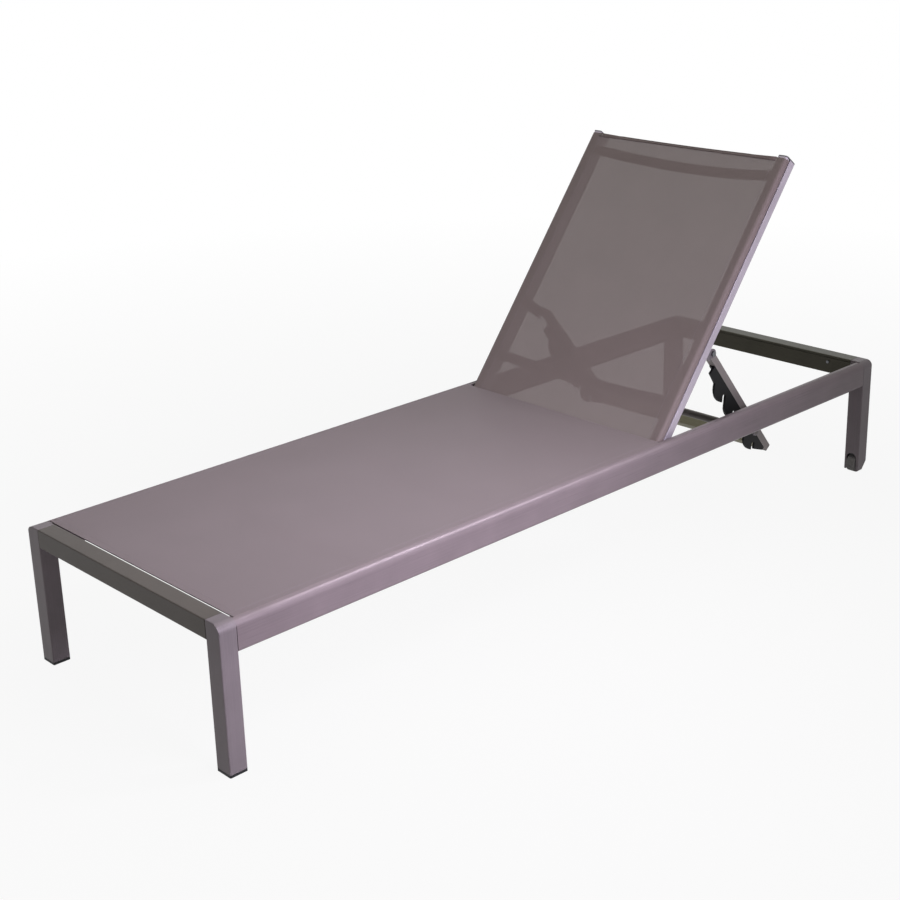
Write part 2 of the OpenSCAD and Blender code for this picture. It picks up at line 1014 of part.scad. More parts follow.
module back_bush() {
  in_back()
    difference() {
      union() {
        bar_y(back_in, back_rail_width + bush_flange, hinge_diameter + 2 * (bush_wall + running_fit));
        bar_y(back_half, bush_flange, bush_flange_diameter);
      }
      hole_y(back_in, back_rail_width + bush_flange, hinge_diameter + 2 * running_fit);
    }
}

module back_bush_left() {
  color("#1d1d1f") on_left() back_bush();
}

module back_bush_right() {
  color("#1d1d1f") back_bush();
}

// Plastic caps in both ends of the back rails, with plugs in the larger chamber.

module back_end_plug(start, run) {
  along_x(start, run)
    soft_square(back_in + wall + plug_fit, wall + plug_fit - back_front,
      back_rail_width - 2 * (wall + plug_fit), back_front - 2 * (wall + plug_fit), small_round);
}

module back_end_plate(start) {
  along_x(start, back_cap)
    rounded(back_in, -back_front, back_rail_width, back_rail_depth - cloth,
      rear_round, rear_round, back_round, rear_round);
}

module back_top_cap() {
  in_back()
    union() {
      back_end_plate(back_length - back_cap);
      back_end_plug(back_length - back_cap - cap_plug, cap_plug);
    }
}

module back_top_cap_left() {
  color("#857d92") on_left() back_top_cap();
}

module back_top_cap_right() {
  color("#857d92") back_top_cap();
}

module back_bottom_cap() {
  in_back()
    union() {
      back_end_plate(-back_tail);
      back_end_plug(back_cap - back_tail, low_cap_plug);
    }
}

module back_bottom_cap_left() {
  color("#1d1d1f") on_left() back_bottom_cap();
}

module back_bottom_cap_right() {
  color("#1d1d1f") back_bottom_cap();
}

// Oval tubes between the back rails, bowed away from the sling.

module back_spreader_low() {
  color("#77716c") in_back() translate([low_spreader_at, 0, 0]) bowed_spreader(back_in);
}

module back_spreader_high() {
  color("#77716c") in_back()
    translate([back_length - high_spreader_drop, 0, 0]) bowed_spreader(back_in);
}

// Back sling: cloth over the front, round the rails' edges and into the side slots.

module back_splines() {
  color("#3a3a3c") in_back() both_sides()
    translate([0, back_channel_y, back_channel_z])
      bar_x(back_cloth_start, back_cloth_end - back_cloth_start, spline_diameter);
}

module back_pocket() {
  difference() {
    union() {
      translate([back_channel_y, back_channel_z]) circle(d = spline_diameter + 2 * cloth);
      translate([back_channel_y, back_channel_z - cloth / 2]) square([back_channel_inset, cloth]);
      translate([back_half - cloth, back_channel_z - cloth / 2])
        square([cloth, back_face - back_round - back_channel_z + cloth / 2]);
      translate([back_in - overrun, back_face])
        square([back_rail_width - cloth - back_round + overrun, cloth]);
      translate([back_half - cloth - back_round, back_face - back_round])
        difference() {
          intersection() {
            circle(back_round + cloth);
            square(back_round + cloth);
          }
          circle(back_round);
        }
    }
    translate([back_channel_y, back_channel_z]) circle(d = spline_diameter);
  }
}

// the cloth between the rails, with a narrower tongue that runs down behind the seat's hem
module back_web() {
  difference() {
    along_x(-sling_tongue, back_cloth_end + sling_tongue) sagging_band(back_in, back_front, back_sag);
    both_sides()
      translate([-sling_tongue - overrun, back_in - tongue_inset, 0])
        cube([sling_tongue + overrun + back_cloth_start, tongue_inset + overrun, back_rail_depth]);
  }
}

module back_sling() {
  color("#7a7270") in_back()
    union() {
      back_web();
      both_sides() along_x(back_cloth_start, back_cloth_end - back_cloth_start) back_pocket();
    }
}

// Brackets that hang the prop behind the back rails.

module prop_bracket() {
  in_back()
    difference() {
      along_y(back_in - bracket_thickness, bracket_thickness)
        union() {
          translate([bracket_start, -pivot_behind]) square([bracket_width, pivot_behind + bracket_top]);
          translate([pivot_along, -pivot_behind]) circle(bracket_radius);
        }
      translate([pivot_along, 0, -pivot_behind])
        hole_y(back_in - bracket_thickness, bracket_thickness, pivot_diameter);
      bracket_rivet_holes(back_in - bracket_thickness, bracket_thickness);
    }
}

module prop_bracket_left() {
  color("#6f6a72") on_left() prop_bracket();
}

module prop_bracket_right() {
  color("#6f6a72") prop_bracket();
}

module bracket_rivet() {
  union() {
    bar_y(back_in - bracket_thickness, bracket_thickness + wall, rivet_diameter);
    bar_y(back_in - bracket_thickness - rivet_head_height, rivet_head_height, rivet_head);
  }
}

module bracket_rivets() {
  color("#b8b8b8") in_back() both_sides()
    for (share = bracket_rivet_shares)
      translate([bracket_start + bracket_width / 2, 0, share * back_rail_depth]) bracket_rivet();
}

// Pivot bolts, fixed in the brackets, with the arms turning on them.

module pivot_bolts() {
  color("#a8a8a8") in_prop() both_sides()
    union() {
      bar_y(arm_in - bolt_end, back_in - arm_in + bolt_end, pivot_diameter);
      bar_y(back_in, pivot_head_height, nut_diameter);
    }
}

module pivot_nuts() {
  color("#a8a8a8") in_prop() both_sides()
    difference() {
      bar_y(arm_in - side_gap - nut_height, nut_height, nut_diameter);
      hole_y(arm_in - side_gap - nut_height, nut_height, pivot_diameter);
    }
}

// Prop arms: square tubes with a turning bore at the top and a square cut at the bottom.

module prop_arm() {
  in_prop()
    difference() {
      union() {
        translate([0, arm_in, -arm_half]) cube([arm_reach - arm_cap, arm_size, arm_size]);
        bar_y(arm_in, arm_size, arm_size);
      }
      translate([arm_half, arm_in + wall, wall - arm_half])
        cube([arm_reach, arm_size - 2 * wall, arm_size - 2 * wall]);
      hole_y(arm_in, arm_size, pivot_diameter + 2 * running_fit);
    }
}

module prop_arm_left() {
  color("#6a656b") on_left() prop_arm();
}

module prop_arm_right() {
  color("#6a656b") prop_arm();
}

module prop_arm_caps() {
  plug = arm_size - 2 * (wall + plug_fit);
  color("#1d1d1f") in_prop() both_sides()
    union() {
      translate([arm_reach - arm_cap, arm_in, -arm_half]) cube([arm_cap, arm_size, arm_size]);
      translate([arm_reach - arm_cap - arm_cap_plug, arm_in + wall + plug_fit, -plug / 2])
        cube([arm_cap_plug, plug, plug]);
    }
}

// Prop crossbar, welded between the arms' lower ends.

module prop_crossbar() {
  color("#8a8676") in_prop()
    difference() {
      along_y(-arm_in, 2 * arm_in)
        rounded(prop_bar_at, -arm_half, prop_bar_depth, prop_bar_width,
          small_round, small_round, prop_bar_round, prop_bar_round);
      translate([prop_bar_at + wall, -arm_in - overrun, wall - arm_half])
        cube([prop_bar_depth - 2 * wall, 2 * (arm_in + overrun), prop_bar_width - 2 * wall]);
    }
}

// Racks: a foot strip on the arm and a plate with four hooked notches.

function notch_at(i) = first_notch + i * notch_pitch;

module rack_plate() {
  teeth = [for (i = [0 : notch_count - 1], tooth = tooth_shares)
    [notch_at(i) + tooth[0] * notch_pitch, -notch_offset - tooth[1] * notch_pitch]];
  difference() {
    polygon(concat(
      [[rack_end, -arm_half], [rack_start, -arm_half], [rack_start, -rack_lead_height]],
      teeth,
      [[rack_end, -rack_end_height]]
    ));
    for (i = [0 : notch_count - 1])
      translate([notch_at(i), -notch_offset])
        union() {
          circle(d = notch_width);
          rotate(-slot_angle) translate([0, -catch_diameter / 2]) square([slot_run, catch_diameter]);
        }
  }
}

module rack() {
  in_prop()
    union() {
      along_y(arm_out - rack_thickness, rack_thickness) rack_plate();
      translate([rack_start + rack_base_spare, arm_in + rack_base_inset, -arm_half - rack_base])
        cube([rack_end - rack_start - 2 * rack_base_spare,
          arm_size - rack_base_inset - rack_thickness + rack_base_spare, rack_base]);
    }
}

module rack_left() {
  color("#161618") on_left() rack();
}

module rack_right() {
  color("#161618") rack();
}

// Middle length of the catch bar, in the third notch of both racks, with a sleeve between them.

module catch_bar() {
  color("#6f6a66") translate([catch_x, 0, catch_z])
    union() {
      bar_y(-catch_split, 2 * catch_split, catch_diameter);
      bar_y(-sleeve_half, 2 * sleeve_half, sleeve_diameter);
    }
}
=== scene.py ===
import math

import bmesh
import bpy
from mathutils import Matrix, Vector


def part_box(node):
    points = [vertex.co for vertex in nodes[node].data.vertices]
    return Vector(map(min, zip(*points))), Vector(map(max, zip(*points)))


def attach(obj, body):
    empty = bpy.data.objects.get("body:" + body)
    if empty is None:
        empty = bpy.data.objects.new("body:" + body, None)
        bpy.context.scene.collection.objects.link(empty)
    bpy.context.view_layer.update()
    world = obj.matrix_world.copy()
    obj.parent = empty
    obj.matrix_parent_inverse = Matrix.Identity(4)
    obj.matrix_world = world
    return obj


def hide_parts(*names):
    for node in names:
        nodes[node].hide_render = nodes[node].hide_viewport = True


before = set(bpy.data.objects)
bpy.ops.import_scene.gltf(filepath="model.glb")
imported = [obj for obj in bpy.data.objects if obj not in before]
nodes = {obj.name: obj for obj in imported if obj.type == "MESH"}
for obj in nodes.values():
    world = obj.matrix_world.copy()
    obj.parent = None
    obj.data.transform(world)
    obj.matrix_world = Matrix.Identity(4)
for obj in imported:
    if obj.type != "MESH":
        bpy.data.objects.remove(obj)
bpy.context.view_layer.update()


# Camera. It stands at the foot end on the lying person's left, a little above the lounger,
# and looks down the length of it as the photograph does.
camera_at = Vector((-2.3492, -2.3501, 1.5137))
yaw, down, roll = math.radians(46.651), math.radians(19.505), math.radians(-1.488)
picture, focal_length, sensor = 900, 1585.19, 36  # pixels, pixels, mm
principal_x, principal_y = 458.06, 415.91
camera_data = bpy.data.cameras.new("camera")
camera = bpy.data.objects.new("camera", camera_data)
bpy.context.collection.objects.link(camera)
ahead = Vector((math.cos(yaw) * math.cos(down), math.sin(yaw) * math.cos(down), -math.sin(down)))
level_right = Vector((math.sin(yaw), -math.cos(yaw), 0))
level_up = level_right.cross(ahead)
right = math.cos(roll) * level_right + math.sin(roll) * level_up
up = -math.sin(roll) * level_right + math.cos(roll) * level_up
turn = Matrix((right, up, -ahead)).transposed()
camera.matrix_world = Matrix.Translation(camera_at) @ turn.to_4x4()
camera_data.sensor_width = sensor
camera_data.lens = focal_length / picture * sensor
camera_data.shift_x = (picture / 2 - principal_x) / picture
camera_data.shift_y = (principal_y - picture / 2) / picture
camera_data.clip_start, camera_data.clip_end = 0.05, 60
bpy.context.scene.camera = camera
bpy.context.scene.view_settings.view_transform = "Standard"


# Floor, backdrop and lamps. A pale seamless floor under broad soft lamps, as in a catalogue
# studio. The camera and the metal see it nearly white, and it keeps the lounger's soft shadow.
def linear(colour):
    """An sRGB hex colour as linear red, green, blue and 1."""
    parts = [int(colour[i:i + 2], 16) / 255 for i in (0, 2, 4)]
    return [c / 12.92 if c <= 0.04045 else ((c + 0.055) / 1.055) ** 2.4 for c in parts] + [1]


def add(tree, kind, inputs=(), **settings):
    """Adds a node.

    inputs pairs a socket's name or number with a value or with what is linked to it."""
    node = tree.nodes.new(kind)
    for name, value in settings.items():
        setattr(node, name, value)
    for name, value in inputs:
        if isinstance(value, bpy.types.NodeSocket):
            tree.links.new(value, node.inputs[name])
        else:
            node.inputs[name].default_value = value
    return node


def sees_white(tree):
    """1 for the camera's rays, for reflections and for what is seen through glass, else 0."""
    path = add(tree, "ShaderNodeLightPath").outputs
    seen = add(tree, "ShaderNodeMath", [(0, path["Is Camera Ray"]), (1, path["Is Glossy Ray"])],
               operation="ADD")
    seen = add(tree, "ShaderNodeMath", [(0, seen.outputs[0]), (1, path["Is Transmission Ray"])],
               operation="ADD", use_clamp=True)
    return seen.outputs[0]


def new_material(name):
    """An empty material and its node tree."""
    made = bpy.data.materials.new(name)
    made.use_nodes = True
    made.node_tree.nodes.clear()
    return made, made.node_tree


half_floor = 60
floor_mesh = bpy.data.meshes.new("floor")
bm = bmesh.new()
bmesh.ops.create_grid(bm, x_segments=1, y_segments=1, size=half_floor)
bm.to_mesh(floor_mesh)
bm.free()
floor = bpy.data.objects.new("floor", floor_mesh)
bpy.context.collection.objects.link(floor)
floor_paint, tree = new_material("matt_white_studio_floor")
# near the lounger the floor keeps some of its own shading; a few metres out it is plain white
near, far, near_share = 1.0, 3.6, 0.92
where = add(tree, "ShaderNodeTexCoord")
away = add(tree, "ShaderNodeVectorMath", [(0, where.outputs["Object"])], operation="LENGTH")
white_share = add(tree, "ShaderNodeMapRange", [
    ("Value", away.outputs["Value"]), ("From Min", near), ("From Max", far),
    ("To Min", near_share), ("To Max", 1.0)])
share = add(tree, "ShaderNodeMath", [(0, sees_white(tree)), (1, white_share.outputs[0])],
            operation="MULTIPLY")
dull = add(tree, "ShaderNodeBsdfDiffuse", [("Color", linear("b4b2b0"))])
glow = add(tree, "ShaderNodeEmission", [("Color", linear("ffffff")), ("Strength", 1.0)])
mixed = add(tree, "ShaderNodeMixShader",
            [(0, share.outputs[0]), (1, dull.outputs[0]), (2, glow.outputs[0])])
add(tree, "ShaderNodeOutputMaterial", [("Surface", mixed.outputs[0])])
floor_mesh.materials.append(floor_paint)

soft_fill, plain_white = 0.19, 1.0
world = bpy.data.worlds.new("studio")
bpy.context.scene.world = world
world.use_nodes = True
tree = world.node_tree
tree.nodes.clear()
fill = add(tree, "ShaderNodeBackground", [("Color", linear("ffffff")), ("Strength", soft_fill)])
white = add(tree, "ShaderNodeBackground", [("Color", linear("ffffff")), ("Strength", plain_white)])
mixed = add(tree, "ShaderNodeMixShader",
            [(0, sees_white(tree)), (1, fill.outputs[0]), (2, white.outputs[0])])
add(tree, "ShaderNodeOutputWorld", [("Surface", mixed.outputs[0])])


def lamp(name, at, toward, wide, high, power, colour, spread):
    """A soft rectangular lamp in watts, with a grid that narrows its spread to so many degrees."""
    data = bpy.data.lights.new(name, "AREA")
    data.shape, data.size, data.size_y, data.energy = "RECTANGLE", wide, high, power
    data.color, data.spread = linear(colour)[:3], math.radians(spread)
    made = bpy.data.objects.new(name, data)
    bpy.context.collection.objects.link(made)
    made.location, made.visible_camera = at, False
    made.rotation_mode = "QUATERNION"
    made.rotation_quaternion = (Vector(toward) - Vector(at)).to_track_quat("-Z", "Y")


lamp("overhead", (0.5, 0.2, 3.0), (-0.8, 0, 0.2), 1.8, 2.2, 7.1, "f6fae4", 120)
lamp("near_side", (-0.55, -1.9, 1.0), (-0.55, -0.3, 0.35), 0.9, 0.7, 8.6, "f1ebfd", 80)
lamp("rail_highlight", (1.2, -1.6, 2.3), (-0.4, -0.33, 0.28), 0.5, 1.2, 3.5, "f4f0fc", 40)
lamp("back_rail_side", (0.6, -2.0, 1.15), (0.62, -0.3, 0.88), 0.4, 0.4, 0.6, "f5eaff", 36)


# Crossbars and legs. Extruded aluminium, satin anodised in a warm grey, with the brush lines
# along each piece. Connectors inside the crossbars' ends hold them to the legs.
def on_object(tree):
    """The place on the object, in metres."""
    return add(tree, "ShaderNodeTexCoord").outputs["Object"]


def scaled(tree, where, scale):
    """The place with another scale along each axis, for lines and streaks."""
    return add(tree, "ShaderNodeMapping", [("Vector", where), ("Scale", scale)]).outputs[0]


def noise(tree, where, scale, detail, roughness=0.5):
    """Soft random patches from 0 to 1, about 1 / scale metres apart."""
    return add(tree, "ShaderNodeTexNoise",
               [("Vector", where), ("Scale", scale), ("Detail", detail),
                ("Roughness", roughness)]).outputs[0]


def spread_out(tree, value, low, high, start=0.0, end=1.0):
    """The value, with start to end spread over low to high."""
    return add(tree, "ShaderNodeMapRange",
               [("Value", value), ("From Min", start), ("From Max", end),
                ("To Min", low), ("To Max", high)]).outputs[0]


def tones(tree, share, first, second):
    """A colour between two hex colours."""
    return add(tree, "ShaderNodeMix", [("Factor", share), (6, linear(first)), (7, linear(second))],
               data_type="RGBA").outputs[2]


def times(tree, a, b):
    """Two values multiplied."""
    return add(tree, "ShaderNodeMath", [(0, a), (1, b)], operation="MULTIPLY").outputs[0]


def bumps(tree, height, strength, deep):
    """A normal that follows height, deep metres from its low to its high."""
    return add(tree, "ShaderNodeBump",
               [("Height", height), ("Strength", strength), ("Distance", deep)]).outputs[0]


def skin(tree, *inputs):
    """The surface itself, joined to the material's output."""
    surface = add(tree, "ShaderNodeBsdfPrincipled", inputs)
    add(tree, "ShaderNodeOutputMaterial", [("Surface", surface.outputs[0])])


def anodised(name, colour, along, roughness=0.36, tilt=0.0, metallic=0.14):
    """Brushed and anodised aluminium, its fine lines running along one axis."""
    made, tree = new_material(name)
    where = on_object(tree)
    turned = add(tree, "ShaderNodeMapping",
                 [("Vector", where), ("Rotation", (0, tilt, 0))]).outputs[0]
    # real lines are about 0.2 mm apart; they are drawn 1 mm apart so that they show
    long, fine = 5, 950
    stretch = {"x": (long, fine, fine), "y": (fine, long, fine), "z": (fine, fine, long)}[along]
    brush = noise(tree, scaled(tree, turned, stretch), 1.0, 3.0, 0.6)
    # cloudy patches about 80 mm across, as handling and rain leave on bare metal
    cloud = noise(tree, where, 12.0, 4.0)
    rough = spread_out(tree, brush, roughness - 0.06, roughness + 0.08, 0.3, 0.7)
    streak = spread_out(tree, brush, 0.89, 1.11, 0.25, 0.75)
    patch = spread_out(tree, cloud, 0.93, 1.07, 0.3, 0.7)
    tint = add(tree, "ShaderNodeVectorMath",
               [(0, linear(colour)[:3]), ("Scale", times(tree, streak, patch))], operation="SCALE")
    skin(tree, ("Base Color", tint.outputs[0]), ("Metallic", metallic), ("Specular IOR Level", 0.2),
         ("Roughness", rough), ("Normal", bumps(tree, brush, 0.06, 0.0002)))
    return made


def wear(material, *names):
    """Gives CAD nodes a finish in place of their plain one."""
    for name in names:
        nodes[name].data.materials.clear()
        nodes[name].data.materials.append(material)


crossbar_metal = anodised("anodised_aluminium_brushed_across", "57504b", "y")
# the head crossbar's colour is a darker, more olive copy of the foot crossbar's: painted shade of
# the dimly lit head end, with the olive tone of the light on its top painted in
head_bar_painted_shade_metal = anodised("anodised_aluminium_painted_head_shade", "525044", "y")
leg_metal = anodised("anodised_aluminium_brushed_upright", "7d7478", "z")
wear(crossbar_metal, "foot_crossbar")
wear(head_bar_painted_shade_metal, "head_crossbar")
wear(leg_metal, "foot_leg_left", "foot_leg_right", "head_leg_left", "head_leg_right")


# Corner and rail connectors with their screws and bolts. The blocks are die-cast aluminium,
# out of sight in the tubes; the screws are zinc-plated steel, dull with a bluish cast.
cast_metal, tree = new_material("die_cast_aluminium")
# the sandy skin of a casting, with grains of about 1 mm
grain = noise(tree, on_object(tree), 900.0, 4.0)
skin(tree, ("Base Color", tones(tree, grain, "5c5c5f", "77777a")), ("Metallic", 0.9),
     ("Roughness", 0.55), ("Normal", bumps(tree, grain, 0.3, 0.0003)))
wear(cast_metal, "corner_connectors", "rail_connectors")

zinc_steel, tree = new_material("zinc_plated_steel")
# plating has a faint mottle a few millimetres across
mottle = noise(tree, on_object(tree), 300.0, 3.0)
skin(tree, ("Base Color", tones(tree, mottle, "5c5d60", "7b7c7f")), ("Metallic", 1.0),
     ("Roughness", spread_out(tree, mottle, 0.28, 0.46)))
wear(zinc_steel, "corner_screws", "rail_bolts")


# Side rails. The same aluminium, extruded hollow and brushed along the lounger, with a rounded
# upper edge that catches the light. They are bolted to the connectors inside the corners.
rail_metal = anodised("anodised_aluminium_brushed_lengthwise", "7f7377", "x", 0.33)
wear(rail_metal, "side_rail_left", "side_rail_right")


# Foot caps and wheel housings. Plugs of black moulded nylon, pushed into the open ends of the
# legs, with a fine spark-eroded grain and a few scuffs.
black_nylon, tree = new_material("black_moulded_nylon")
where = on_object(tree)
# mould grain of 0.6 mm, drawn at 1 mm so that it shows
grain = noise(tree, where, 1000.0, 2.0)
scuff = noise(tree, where, 60.0, 5.0, 0.65)
skin(tree, ("Base Color", tones(tree, scuff, "121214", "262629")),
     ("Roughness", spread_out(tree, scuff, 0.38, 0.58)), ("Specular IOR Level", 0.25),
     ("Normal", bumps(tree, grain, 0.15, 0.0002)))
wear(black_nylon, "foot_cap_left", "foot_cap_right", "wheel_housing_left", "wheel_housing_right")


# Wheels. Grey moulded polypropylene hubs on plated steel axles, with moulded grey rubber tyres.
# They turn in the housings and show in the arched windows of the head legs.
hub_plastic, tree = new_material("grey_moulded_polypropylene")
# slow changes of gloss, as on a thick moulding
cloud = noise(tree, on_object(tree), 120.0, 4.0)
skin(tree, ("Base Color", tones(tree, cloud, "a19e9c", "bab8b5")),
     ("Roughness", spread_out(tree, cloud, 0.35, 0.5)))
wear(hub_plastic, "wheel_left", "wheel_right")
wear(zinc_steel, "axle_left", "axle_right")

tyre_rubber, tree = new_material("grey_moulded_rubber")
# matt, and uneven where dust clings to it
dust = noise(tree, on_object(tree), 90.0, 6.0, 0.7)
skin(tree, ("Base Color", tones(tree, dust, "676462", "9d9a98")), ("Roughness", 0.7),
     ("Normal", bumps(tree, dust, 0.3, 0.0003)))
wear(tyre_rubber, "tyre_left", "tyre_right")


# Seat spreaders. Oval aluminium tubes, bowed down so that the cloth can give without touching
# them, and welded between the side rails.
wear(crossbar_metal, "seat_spreader_foot", "seat_spreader_middle", "seat_spreader_head")


# Seat sling. One layer of PVC-coated polyester mesh, pulled tight between the side rails. Each
# edge is a sewn pocket on a plastic spline, slid into the rail's channel from the end.
def cloth_material(name, warp_colour, weft_colour, cover):
    """Woven PVC-coated yarn with small holes between the yarns.

    cover is how much of what lies behind each face hides."""
    made, tree = new_material(name)
    laid = add(tree, "ShaderNodeUVMap", uv_map="cloth").outputs[0]
    # yarns of 1.1 mm, drawn 1.8 mm apart so that the weave shows; the UV map is in metres
    yarn, bands_at_scale_1 = 0.0018, 3.2
    waves = [add(tree, "ShaderNodeTexWave",
                 [("Vector", laid), ("Scale", 1 / yarn / bands_at_scale_1), ("Distortion", 0.3),
                  ("Detail", 1.0)], bands_direction=axis).outputs[1] for axis in "XY"]
    weave = times(tree, *waves)
    # slow changes of tone across the cloth, a hand's breadth wide
    cloud = noise(tree, laid, 7.0, 3.0)
    slub = noise(tree, laid, 420.0, 2.0)
    blend = add(tree, "ShaderNodeMath", [(0, slub), (1, 0.55), (2, 0.2)],
                operation="MULTIPLY_ADD").outputs[0]
    dip = spread_out(tree, weave, 0.9, 1.05)
    patch = spread_out(tree, cloud, 0.97, 1.03, 0.3, 0.7)
    tint = add(tree, "ShaderNodeVectorMath",
               [(0, tones(tree, blend, warp_colour, weft_colour)),
                ("Scale", times(tree, dip, patch))], operation="SCALE")
    skin(tree, ("Base Color", tint.outputs[0]), ("Roughness", 0.62), ("Sheen Weight", 0.12),
         ("Sheen Roughness", 0.5), ("Alpha", cover), ("Normal", bumps(tree, weave, 0.25, 0.0004)))
    return made


def draw_on(bm, edges, stride):
    """Draws a row of faces out from some edges, stride metres along X, and gives its far edges."""
    grown = bmesh.ops.extrude_edge_only(bm, edges=edges)["geom"]
    fresh = [g for g in grown if isinstance(g, bmesh.types.BMVert)]
    bmesh.ops.translate(bm, verts=fresh, vec=(stride, 0, 0))
    return [g for g in grown if isinstance(g, bmesh.types.BMEdge)]


def placed(name, bm):
    """A smooth-shaded object from a mesh in the making."""
    mesh = bpy.data.meshes.new(name)
    bm.to_mesh(mesh)
    bm.free()
    for polygon in mesh.polygons:
        polygon.use_smooth = True
    made = bpy.data.objects.new(name, mesh)
    bpy.context.collection.objects.link(made)
    return made


def sling_mesh(name, outline, start, end, place, sag, bow=0.0, tongue=0.0, tongue_half=0.0):
    """A cloth from its cross outline of (across, height) points, drawn out from start to end.

    It has a UV map in metres. sag is its dip in the middle and bow the hollow of its far hem.
    tongue is how far its middle, tongue_half to each side, runs on before start."""
    bm = bmesh.new()
    run = [0.0]
    for a, b in zip(outline, outline[1:]):
        run.append(run[-1] + math.dist(a, b))
    held = bm.verts.layers.float.new("run")
    laid = bm.loops.layers.uv.new("cloth")
    verts = [bm.verts.new((start, y, z)) for y, z in outline]
    first = [bm.edges.new(pair) for pair in zip(verts, verts[1:])]
    for vert, at in zip(verts, run):
        vert[held] = at
    # a narrow ring at each hem keeps the shading of the cut edge off the cloth
    ring, stride, snap = 0.0008, 0.03, 0.0001
    steps = max(1, round((end - start) / stride))
    edges = first
    for reach in [ring] + [(end - start - 2 * ring) / steps] * steps + [ring]:
        edges = draw_on(bm, edges, reach)
    free = tongue_half if tongue else max(y for y, z in outline)
    if tongue:
        middle = [edge for edge in first
                  if all(abs(vert.co.y) < tongue_half + snap for vert in edge.verts)]
        for reach in (tongue - ring, ring):
            middle = draw_on(bm, middle, -reach)
    bmesh.ops.recalc_face_normals(bm, faces=bm.faces)
    for face in bm.faces:
        for loop in face.loops:
            loop[laid].uv = (loop.vert.co.x, loop.vert[held])
    # the middle dips between the hems, and the hem between the rails is cut with a slight hollow
    for vert in bm.verts:
        share = (vert.co.x - start) / (end - start)
        across = max(0, 1 - (vert.co.y / free) ** 2)
        vert.co.z -= sag * across * (1 - (2 * min(1, max(0, share)) - 1) ** 4)
        vert.co.x -= bow * max(0, share) ** 6 * across
    bm.transform(place)
    return placed(name, bm), run[-1]


def arc(centre, radius, start, end, steps):
    """Points round part of a circle, angles in degrees."""
    turns = [math.radians(start + (end - start) * i / steps) for i in range(steps + 1)]
    return [(centre[0] + radius * math.cos(a), centre[1] + radius * math.sin(a)) for a in turns]


def inward(half, height, strips=14):
    """Points at one height, from half metres out to the middle."""
    return [(half * (1 - i / strips), height) for i in range(strips + 1)]


def mirrored(half):
    """A whole cross outline from its +Y half, which runs from the edge to the middle."""
    middle = 0.0001
    return half + [(-y, z) for y, z in reversed(half) if y > middle]


def clothe(piece, material, body):
    """Gives a cloth piece its thickness, its material and the body that carries it."""
    piece.data.materials.append(material)
    thick = piece.modifiers.new("thickness", "SOLIDIFY")
    thick.thickness, thick.offset = 0.0011, 0
    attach(piece, body)


def hem(name, half, height, start, end, place, sag=0.0, bow=0.0):
    """The strip of cloth that is folded back under a sling's cut end."""
    return sling_mesh(name, mirrored(inward(half, height)), start, end, place, sag, bow)[0]


def stitches(name, rows, height, place, material, body, dip):
    """Rows of stitches on a sling, each row from one (along, across) place to another.

    height is the cloth's face, and dip gives how far the cloth hangs below it."""
    pitch, half_stitch, half_wide, half_thick = 0.004, 0.0015, 0.00045, 0.0003
    stitch = Matrix.Diagonal((half_stitch, half_wide, half_thick, 1))
    bm = bmesh.new()
    for (along_a, across_a), (along_b, across_b) in rows:
        count = round(math.hypot(along_b - along_a, across_b - across_a) / pitch)
        heading = math.atan2(across_b - across_a, along_b - along_a)
        for i in range(count):
            share = (i + 0.5) / count
            at = Vector((along_a + (along_b - along_a) * share,
                         across_a + (across_b - across_a) * share, height))
            at.z -= dip(at.x, at.y)
            shape = Matrix.Translation(at) @ Matrix.Rotation(heading, 4, "Z") @ stitch
            bmesh.ops.create_icosphere(bm, subdivisions=1, radius=1, matrix=place @ shape)
    made = placed(name, bm)
    made.data.materials.append(material)
    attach(made, body)
    return made


seat_cloth = cloth_material("seat_mesh_warm_grey", "7c6d71", "887a7d", 0.93)
seat_low, seat_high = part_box("seat_sling")
# the real foot hem lies 3.5 mm from the crossbar, a little nearer than the simple solid
nearer = 0.0025
seat_start, seat_end = seat_low[0] - nearer, seat_high[0]
# land is the height of the rail's ledge under the cloth. The cloth turns down over a rounded lip
# at slot_side and round the spline in the channel below.
seat_half, land, channel, spline_round = 0.296, 0.2946, (0.305, 0.286), 0.0026
slot_side, slot_low, slot_high, lip_round, ledge_side = 0.305, 0.291, 0.2936, 0.001, 0.300
half_outline = arc(channel, spline_round, -250, 90, 12)
half_outline += [(slot_side, slot_low), (slot_side, slot_high)]
half_outline += arc((slot_side - lip_round, slot_high), lip_round, 0, 90, 3)
half_outline += [(ledge_side, land)] + inward(seat_half, land)
seat_sag = 0.004
seat_sling, seat_width = sling_mesh("seat_sling_cloth", mirrored(half_outline), seat_start,
                                    seat_end, Matrix(), seat_sag)

# bonded polyester thread, a slightly glossy twist of about 0.5 mm
thread, tree = new_material("grey_polyester_thread")
twist = noise(tree, on_object(tree), 1500.0, 2.0)
skin(tree, ("Base Color", tones(tree, twist, "7b7277", "988d93")), ("Roughness", 0.5),
     ("Sheen Weight", 0.1))

clothe(seat_sling, seat_cloth, "frame")
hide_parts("seat_sling")
# each hem is folded under, and stands back a little from the cut edge above it
hem_width, hem_under, hem_back, hem_half = 0.018, 0.0012, 0.0006, 0.295
seat_hems = [hem("seat_hem_foot", hem_half, land - hem_under, seat_start + hem_back,
                 seat_start + hem_width, Matrix()),
             hem("seat_hem_head", hem_half, land - hem_under, seat_end - hem_width,
                 seat_end - hem_back, Matrix())]
for piece in seat_hems:
    clothe(piece, seat_cloth, "frame")


def seat_dip(along, across):
    """How far the seat's cloth hangs below its edges."""
    share = (along - seat_start) / (seat_end - seat_start)
    return seat_sag * max(0, 1 - (across / slot_side) ** 2) * (1 - (2 * share - 1) ** 4)


